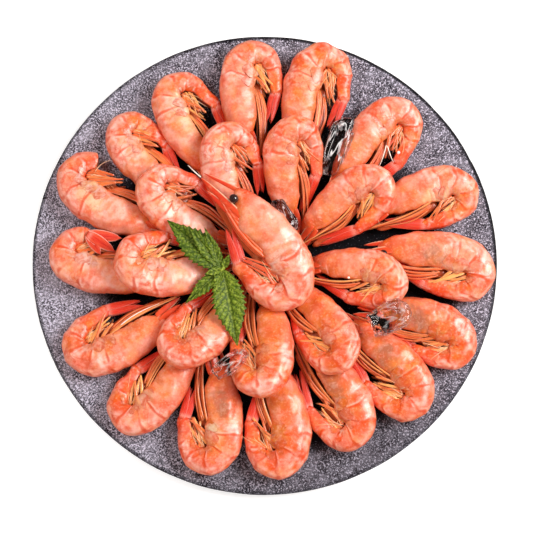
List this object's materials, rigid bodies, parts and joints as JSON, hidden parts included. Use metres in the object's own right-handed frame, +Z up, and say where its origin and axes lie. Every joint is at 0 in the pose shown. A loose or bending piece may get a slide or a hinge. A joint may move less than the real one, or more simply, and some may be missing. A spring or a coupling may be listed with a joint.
{
  "type": "plate of northern shrimp",
  "caption": "Round slate plate of cooked, whole northern shrimp curled on their sides in two rings round a larger one, with a mint sprig and melting ice.",
  "frame": {"origin": "centre of the plate's underside", "axes": "+Z up; +Y towards the top of the picture, +X towards its right"},
  "size_m": [0.1993, 0.1994, 0.0353],
  "materials": {
    "slate": "hewn, dark with dense pale specks",
    "shell": "cooked shell, thin, satin to glossy, salmon to orange",
    "ice": "clear, wet, melted smooth",
    "mint": "fresh leaf, satin, veined"
  },
  "bodies": {
    "root": {"plate": "slate", "shrimp_outer_01": "shell", "shrimp_outer_02": "shell", "shrimp_outer_03": "shell", "shrimp_outer_04": "shell", "shrimp_outer_05": "shell", "shrimp_outer_06": "shell", "shrimp_outer_07": "shell", "shrimp_outer_08": "shell", "shrimp_outer_09": "shell", "shrimp_outer_10": "shell", "shrimp_outer_11": "shell", "shrimp_outer_12": "shell", "shrimp_outer_13": "shell", "shrimp_outer_14": "shell", "shrimp_outer_15": "shell", "shrimp_outer_16": "shell", "shrimp_inner_01": "shell", "shrimp_inner_02": "shell", "shrimp_inner_03": "shell", "shrimp_inner_04": "shell", "shrimp_inner_05": "shell", "shrimp_inner_06": "shell", "shrimp_inner_07": "shell", "shrimp_inner_08": "shell", "shrimp_inner_09": "shell", "shrimp_middle_01": "shell", "ice_1": "ice", "ice_2": "ice", "ice_3": "ice", "ice_4": "ice", "mint": "mint"}
  },
  "joints": []
}
